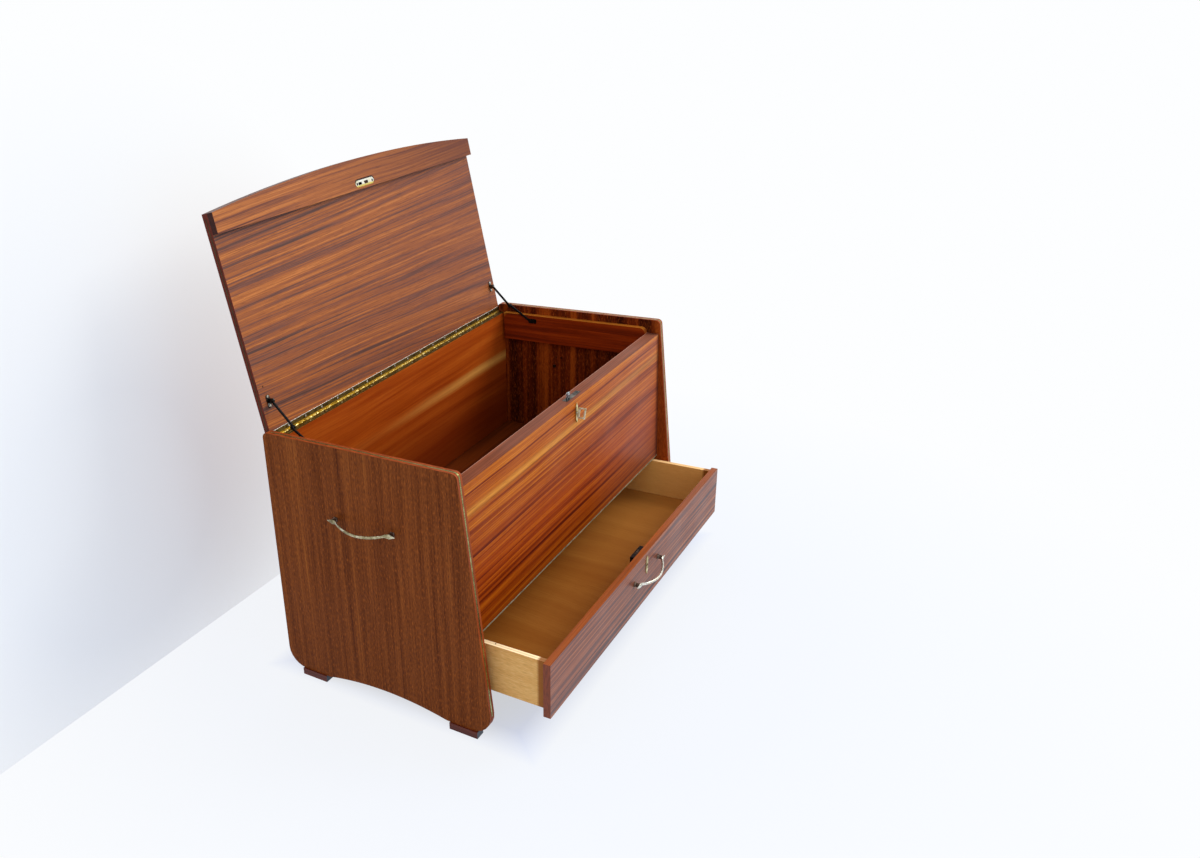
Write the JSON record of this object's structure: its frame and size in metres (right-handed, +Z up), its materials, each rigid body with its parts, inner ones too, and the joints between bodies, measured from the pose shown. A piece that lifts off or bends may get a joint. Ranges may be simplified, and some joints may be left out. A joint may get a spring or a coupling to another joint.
{
  "type": "mule chest",
  "caption": "Low wooden chest with a leaning lift-up lid on folding stays, a lock in its front, a drawer under it and bow handles.",
  "frame": {"origin": "on the floor, under the middle of the whole part's bounding box with the lid open and the drawer part way out", "axes": "+X to the right as seen from the front, +Y to the back, +Z up; the drawer and the front panel face -Y"},
  "size_m": [0.966, 0.6902, 0.9279],
  "materials": {
    "side_veneer": "satin sapele veneer, upright grain",
    "inlay_metal": "tarnished olive strip",
    "dark_wood": "dark stained lacquer",
    "inner_veneer": "satin mahogany board",
    "front_veneer": "gloss sapele veneer, level grain",
    "pale_wood": "bare beech, oiled by age",
    "brass": "rolled, worn",
    "lid_veneer": "satin sapele veneer, level grain",
    "nickel": "bright nickel plate, worn",
    "black_steel": "black japanned, worn",
    "lock_steel": "dull grey",
    "pale_brass": "pale, worn",
    "drawer_veneer": "gloss sapele veneer with a cool sheen",
    "plywood": "bare brown plywood"
  },
  "bodies": {
    "chest": {"left_side_panel": "side_veneer", "left_edge_inlay": "inlay_metal", "rear_left_foot": "dark_wood", "front_left_foot": "dark_wood", "right_side_panel": "side_veneer", "right_edge_inlay": "inlay_metal", "rear_right_foot": "dark_wood", "front_right_foot": "dark_wood", "back_panel": "inner_veneer", "front_panel": "front_veneer", "front_edge_strip": "inlay_metal", "floor_front_rail": "pale_wood", "floor_back_rail": "pale_wood", "left_floor_bearer": "pale_wood", "right_floor_bearer": "pale_wood", "chest_floor": "inner_veneer", "left_cleat": "inner_veneer", "right_cleat": "inner_veneer", "left_drawer_runner": "pale_wood", "right_drawer_runner": "pale_wood", "hinge_back_leaf": "brass", "hinge_pin": "brass", "left_stay_wall_bracket": "black_steel", "right_stay_wall_bracket": "black_steel", "chest_lock_plate": "lock_steel", "chest_lock_case": "lock_steel", "chest_escutcheon": "pale_brass", "left_handle": "nickel", "left_handle_screw_a": "lock_steel", "left_handle_screw_b": "lock_steel", "right_handle": "nickel", "right_handle_screw_a": "lock_steel", "right_handle_screw_b": "lock_steel"},
    "lid": {"lid_board": "lid_veneer", "lid_lip": "front_veneer", "striker_screw_a": "nickel", "striker_screw_b": "nickel", "striker_plate": "nickel", "hinge_lid_leaf": "brass", "left_stay_lid_bracket": "black_steel", "right_stay_lid_bracket": "black_steel"},
    "drawer": {"drawer_front": "drawer_veneer", "drawer_left_side": "pale_wood", "drawer_right_side": "pale_wood", "drawer_bottom": "plywood", "drawer_back": "pale_wood", "drawer_lock_case": "black_steel", "drawer_escutcheon": "pale_brass", "drawer_handle": "nickel", "drawer_handle_screw_a": "lock_steel", "drawer_handle_screw_b": "lock_steel"},
    "drawer_bolt": {"drawer_lock_bolt": "lock_steel"},
    "key": {"key": "nickel"},
    "lock_hook": {"lock_hook": "lock_steel"},
    "left_lower_arm": {"left_stay_lower_arm": "black_steel"},
    "right_lower_arm": {"right_stay_lower_arm": "black_steel"},
    "left_upper_arm": {"left_stay_upper_arm": "black_steel"},
    "right_upper_arm": {"right_stay_upper_arm": "black_steel"}
  },
  "joints": [
    {"name": "lid_hinge", "type": "hinge", "parent": "chest", "child": "lid", "pos_m": [0, 0.24104, 0.499], "axis": [1, 0, 0], "range_deg": [0, 101.9]},
    {"name": "drawer_slide", "type": "slide", "parent": "chest", "child": "drawer", "axis": [0, -1, 0], "range_m": [-0.145, 0.13]},
    {"name": "drawer_bolt_slide", "type": "slide", "parent": "drawer", "child": "drawer_bolt", "axis": [0, 0, 1], "range_m": [0, 0.006]},
    {"name": "key_turn", "type": "hinge", "parent": "chest", "child": "key", "pos_m": [0, -0.14603, 0.458], "axis": [0, 1, 0], "range_deg": [0, 180]},
    {"name": "lock_hook_slide", "type": "slide", "parent": "chest", "child": "lock_hook", "axis": [0, 0, 1], "range_m": [-0.013, 0]},
    {"name": "left_lower_arm_turn", "type": "hinge", "parent": "chest", "child": "left_lower_arm", "pos_m": [-0.4174, 0.15104, 0.487], "axis": [1, 0, 0], "range_deg": [-99.2, 0]},
    {"name": "left_upper_arm_turn", "type": "hinge", "parent": "lid", "child": "left_upper_arm", "pos_m": [-0.4133, 0.24829, 0.56492], "axis": [1, 0, 0], "range_deg": [-55.3, 0]},
    {"name": "right_lower_arm_turn", "type": "hinge", "parent": "chest", "child": "right_lower_arm", "pos_m": [0.4174, 0.15104, 0.487], "axis": [1, 0, 0], "range_deg": [-99.2, 0]},
    {"name": "right_upper_arm_turn", "type": "hinge", "parent": "lid", "child": "right_upper_arm", "pos_m": [0.4133, 0.24829, 0.56492], "axis": [1, 0, 0], "range_deg": [-55.3, 0]}
  ],
  "couplings": [
    {"joint": "key_turn", "follows": "lock_hook_slide", "rad_per_m": -241.66},
    {"joint": "left_lower_arm_turn", "follows": "lid_hinge", "ratio": -0.96899},
    {"joint": "left_upper_arm_turn", "follows": "lid_hinge", "ratio": -0.53731},
    {"joint": "right_lower_arm_turn", "follows": "lid_hinge", "ratio": -0.96899},
    {"joint": "right_upper_arm_turn", "follows": "lid_hinge", "ratio": -0.53731}
  ]
}
